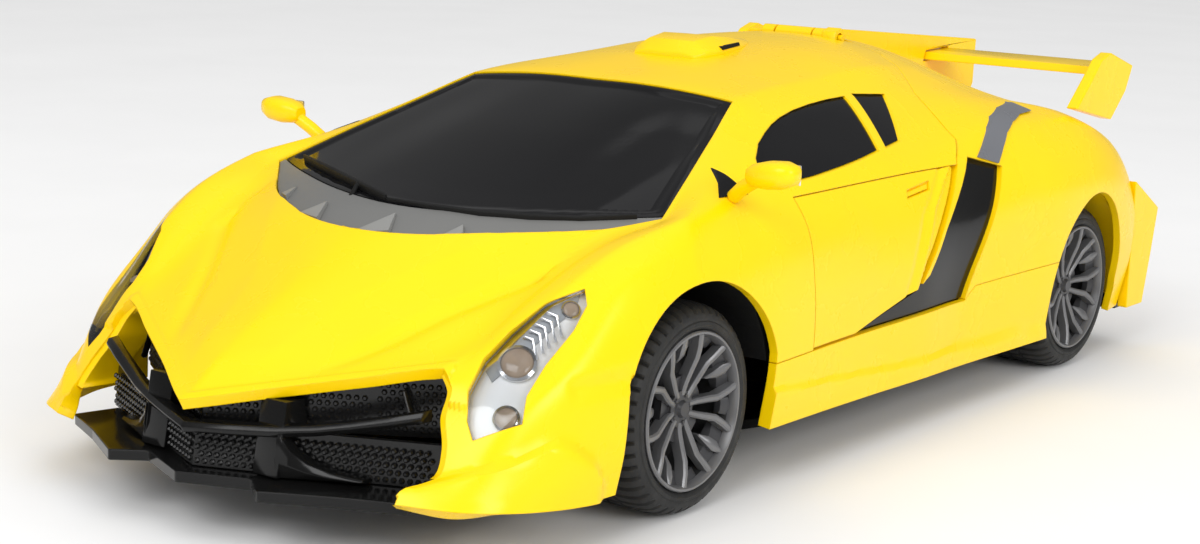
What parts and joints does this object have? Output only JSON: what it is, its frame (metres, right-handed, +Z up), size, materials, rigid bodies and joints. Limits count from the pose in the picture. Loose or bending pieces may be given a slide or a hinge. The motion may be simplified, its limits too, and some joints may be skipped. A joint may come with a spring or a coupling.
{
  "type": "transforming toy car",
  "caption": "Wedge-shaped toy sports car whose front shell lifts on a roof hinge while its doors swing out as robot arms and a head slides out of the nose.",
  "frame": {"origin": "centre of the car's plan, on the surface that the tyres stand on", "axes": "the nose points to -Y, +X is the car's left side, +Z is up"},
  "size_m": [0.1216, 0.256, 0.0716],
  "materials": {
    "shell_yellow": "glossy injection-moulded plastic, bright yellow",
    "trim_black": "glossy black plastic",
    "chassis_black": "matt black plastic with a fine grain",
    "glazing_black": "smoked, nearly opaque gloss plastic",
    "cowl_grey": "satin mid-grey plastic",
    "lamp_clear": "clear lens over a silvered reflector",
    "lamp_red": "translucent red plastic",
    "robot_grey": "satin dark grey plastic",
    "gear_nylon": "natural nylon",
    "steel": "bright steel",
    "tyre": "matt black rubber",
    "rim_gunmetal": "metallised gunmetal plastic"
  },
  "bodies": {
    "chassis": {"chassis_tray": "chassis_black", "battery_door": "chassis_black", "side_skirt_left": "shell_yellow", "side_skirt_right": "shell_yellow", "front_splitter": "trim_black", "front_bumper_frame": "trim_black", "front_grille_mesh": "trim_black", "rear_quarter_shell": "shell_yellow", "rear_grille_panel": "trim_black", "rear_diffuser": "trim_black", "tail_light_left": "lamp_red", "tail_light_right": "lamp_red", "rear_winglet_left": "shell_yellow", "rear_winglet_right": "shell_yellow", "shark_fin": "shell_yellow", "wing_blade": "shell_yellow", "wing_endplate_left": "shell_yellow", "wing_endplate_right": "shell_yellow", "side_intake_left": "trim_black", "side_intake_right": "trim_black", "drive_motor": "steel", "lift_motor": "steel", "hinge_bracket": "shell_yellow"},
    "shell": {"front_shell": "shell_yellow", "windscreen": "glazing_black", "windscreen_cowl": "cowl_grey", "headlight_left": "lamp_clear", "headlight_right": "lamp_clear", "door_window_left": "glazing_black", "door_window_right": "glazing_black", "quarter_window_left": "glazing_black", "quarter_window_right": "glazing_black", "mirror_left": "shell_yellow", "mirror_right": "shell_yellow", "roof_scoop": "shell_yellow", "shell_hinge_arm": "shell_yellow", "robot_torso": "robot_grey", "robot_chest_plate": "shell_yellow"},
    "left_door": {"door_left": "shell_yellow", "upper_arm_left": "robot_grey"},
    "right_door": {"door_right": "shell_yellow", "upper_arm_right": "robot_grey"},
    "left_forearm": {"forearm_left": "robot_grey"},
    "right_forearm": {"forearm_right": "robot_grey"},
    "head": {"robot_head": "robot_grey"},
    "left_knuckle": {"steering_knuckle_left": "robot_grey"},
    "right_knuckle": {"steering_knuckle_right": "robot_grey"},
    "front_left_wheel": {"tyre_front_left": "tyre", "rim_front_left": "rim_gunmetal"},
    "front_right_wheel": {"tyre_front_right": "tyre", "rim_front_right": "rim_gunmetal"},
    "rear_wheels": {"rear_axle": "steel", "tyre_rear_left": "tyre", "tyre_rear_right": "tyre", "rim_rear_left": "rim_gunmetal", "rim_rear_right": "rim_gunmetal"},
    "compound": {"compound_gear": "gear_nylon"},
    "drive_pinion": {"motor_pinion": "steel"},
    "lift_gear": {"lift_pinion": "steel"},
    "switch": {"power_switch": "chassis_black"}
  },
  "joints": [
    {"name": "shell_hinge", "type": "hinge", "parent": "chassis", "child": "shell", "pos_m": [0, 0.047, 0.0694], "axis": [-1, 0, 0], "range_deg": [0, 65]},
    {"name": "door_left_hinge", "type": "hinge", "parent": "shell", "child": "left_door", "pos_m": [0.0545, -0.031, 0.035], "axis": [0, 0, -1], "range_deg": [0, 75.1]},
    {"name": "door_right_hinge", "type": "hinge", "parent": "shell", "child": "right_door", "pos_m": [-0.0545, -0.031, 0.035], "axis": [0, 0, 1], "range_deg": [0, 75.1]},
    {"name": "elbow_left", "type": "hinge", "parent": "left_door", "child": "left_forearm", "pos_m": [0.045, 0.001, 0.033], "axis": [0, 0, 1], "range_deg": [0, 60.1]},
    {"name": "elbow_right", "type": "hinge", "parent": "right_door", "child": "right_forearm", "pos_m": [-0.045, 0.001, 0.033], "axis": [0, 0, -1], "range_deg": [0, 60.1]},
    {"name": "head_slide", "type": "slide", "parent": "shell", "child": "head", "axis": [0, -1, 0], "range_m": [0, 0.012]},
    {"name": "lift_pinion_spin", "type": "hinge", "parent": "chassis", "child": "lift_gear", "pos_m": [0, 0.04249, 0.04987], "axis": [1, 0, 0], "range_deg": [0, 261]},
    {"name": "steer_left", "type": "hinge", "parent": "chassis", "child": "left_knuckle", "pos_m": [0.039, -0.0645, 0.01764], "axis": [0, 0, 1], "range_deg": [-12, 12]},
    {"name": "steer_right", "type": "hinge", "parent": "chassis", "child": "right_knuckle", "pos_m": [-0.039, -0.0645, 0.01764], "axis": [0, 0, 1], "range_deg": [-12, 12]},
    {"name": "front_left_wheel_spin", "type": "hinge", "parent": "left_knuckle", "child": "front_left_wheel", "pos_m": [0.043, -0.0645, 0.01764], "axis": [1, 0, 0], "continuous": true},
    {"name": "front_right_wheel_spin", "type": "hinge", "parent": "right_knuckle", "child": "front_right_wheel", "pos_m": [-0.043, -0.0645, 0.01764], "axis": [1, 0, 0], "continuous": true},
    {"name": "rear_axle_spin", "type": "hinge", "parent": "chassis", "child": "rear_wheels", "pos_m": [0, 0.0805, 0.01764], "axis": [1, 0, 0], "continuous": true},
    {"name": "compound_gear_spin", "type": "hinge", "parent": "chassis", "child": "compound", "pos_m": [0, 0.0696, 0.01971], "axis": [1, 0, 0], "continuous": true},
    {"name": "motor_pinion_spin", "type": "hinge", "parent": "chassis", "child": "drive_pinion", "pos_m": [0, 0.05888, 0.01841], "axis": [1, 0, 0], "continuous": true},
    {"name": "switch_slide", "type": "slide", "parent": "chassis", "child": "switch", "axis": [0, 1, 0], "range_m": [0, 0.003]}
  ],
  "couplings": [
    {"joint": "door_left_hinge", "follows": "shell_hinge", "ratio": 1.1538},
    {"joint": "door_right_hinge", "follows": "shell_hinge", "ratio": 1.1538},
    {"joint": "elbow_left", "follows": "shell_hinge", "ratio": 0.9231},
    {"joint": "elbow_right", "follows": "shell_hinge", "ratio": 0.9231},
    {"joint": "head_slide", "follows": "shell_hinge", "m_per_rad": 0.01057},
    {"joint": "lift_pinion_spin", "follows": "shell_hinge", "ratio": 4},
    {"joint": "steer_right", "follows": "steer_left", "ratio": 1},
    {"joint": "compound_gear_spin", "follows": "rear_axle_spin", "ratio": -2.7},
    {"joint": "motor_pinion_spin", "follows": "rear_axle_spin", "ratio": 7.02}
  ]
}
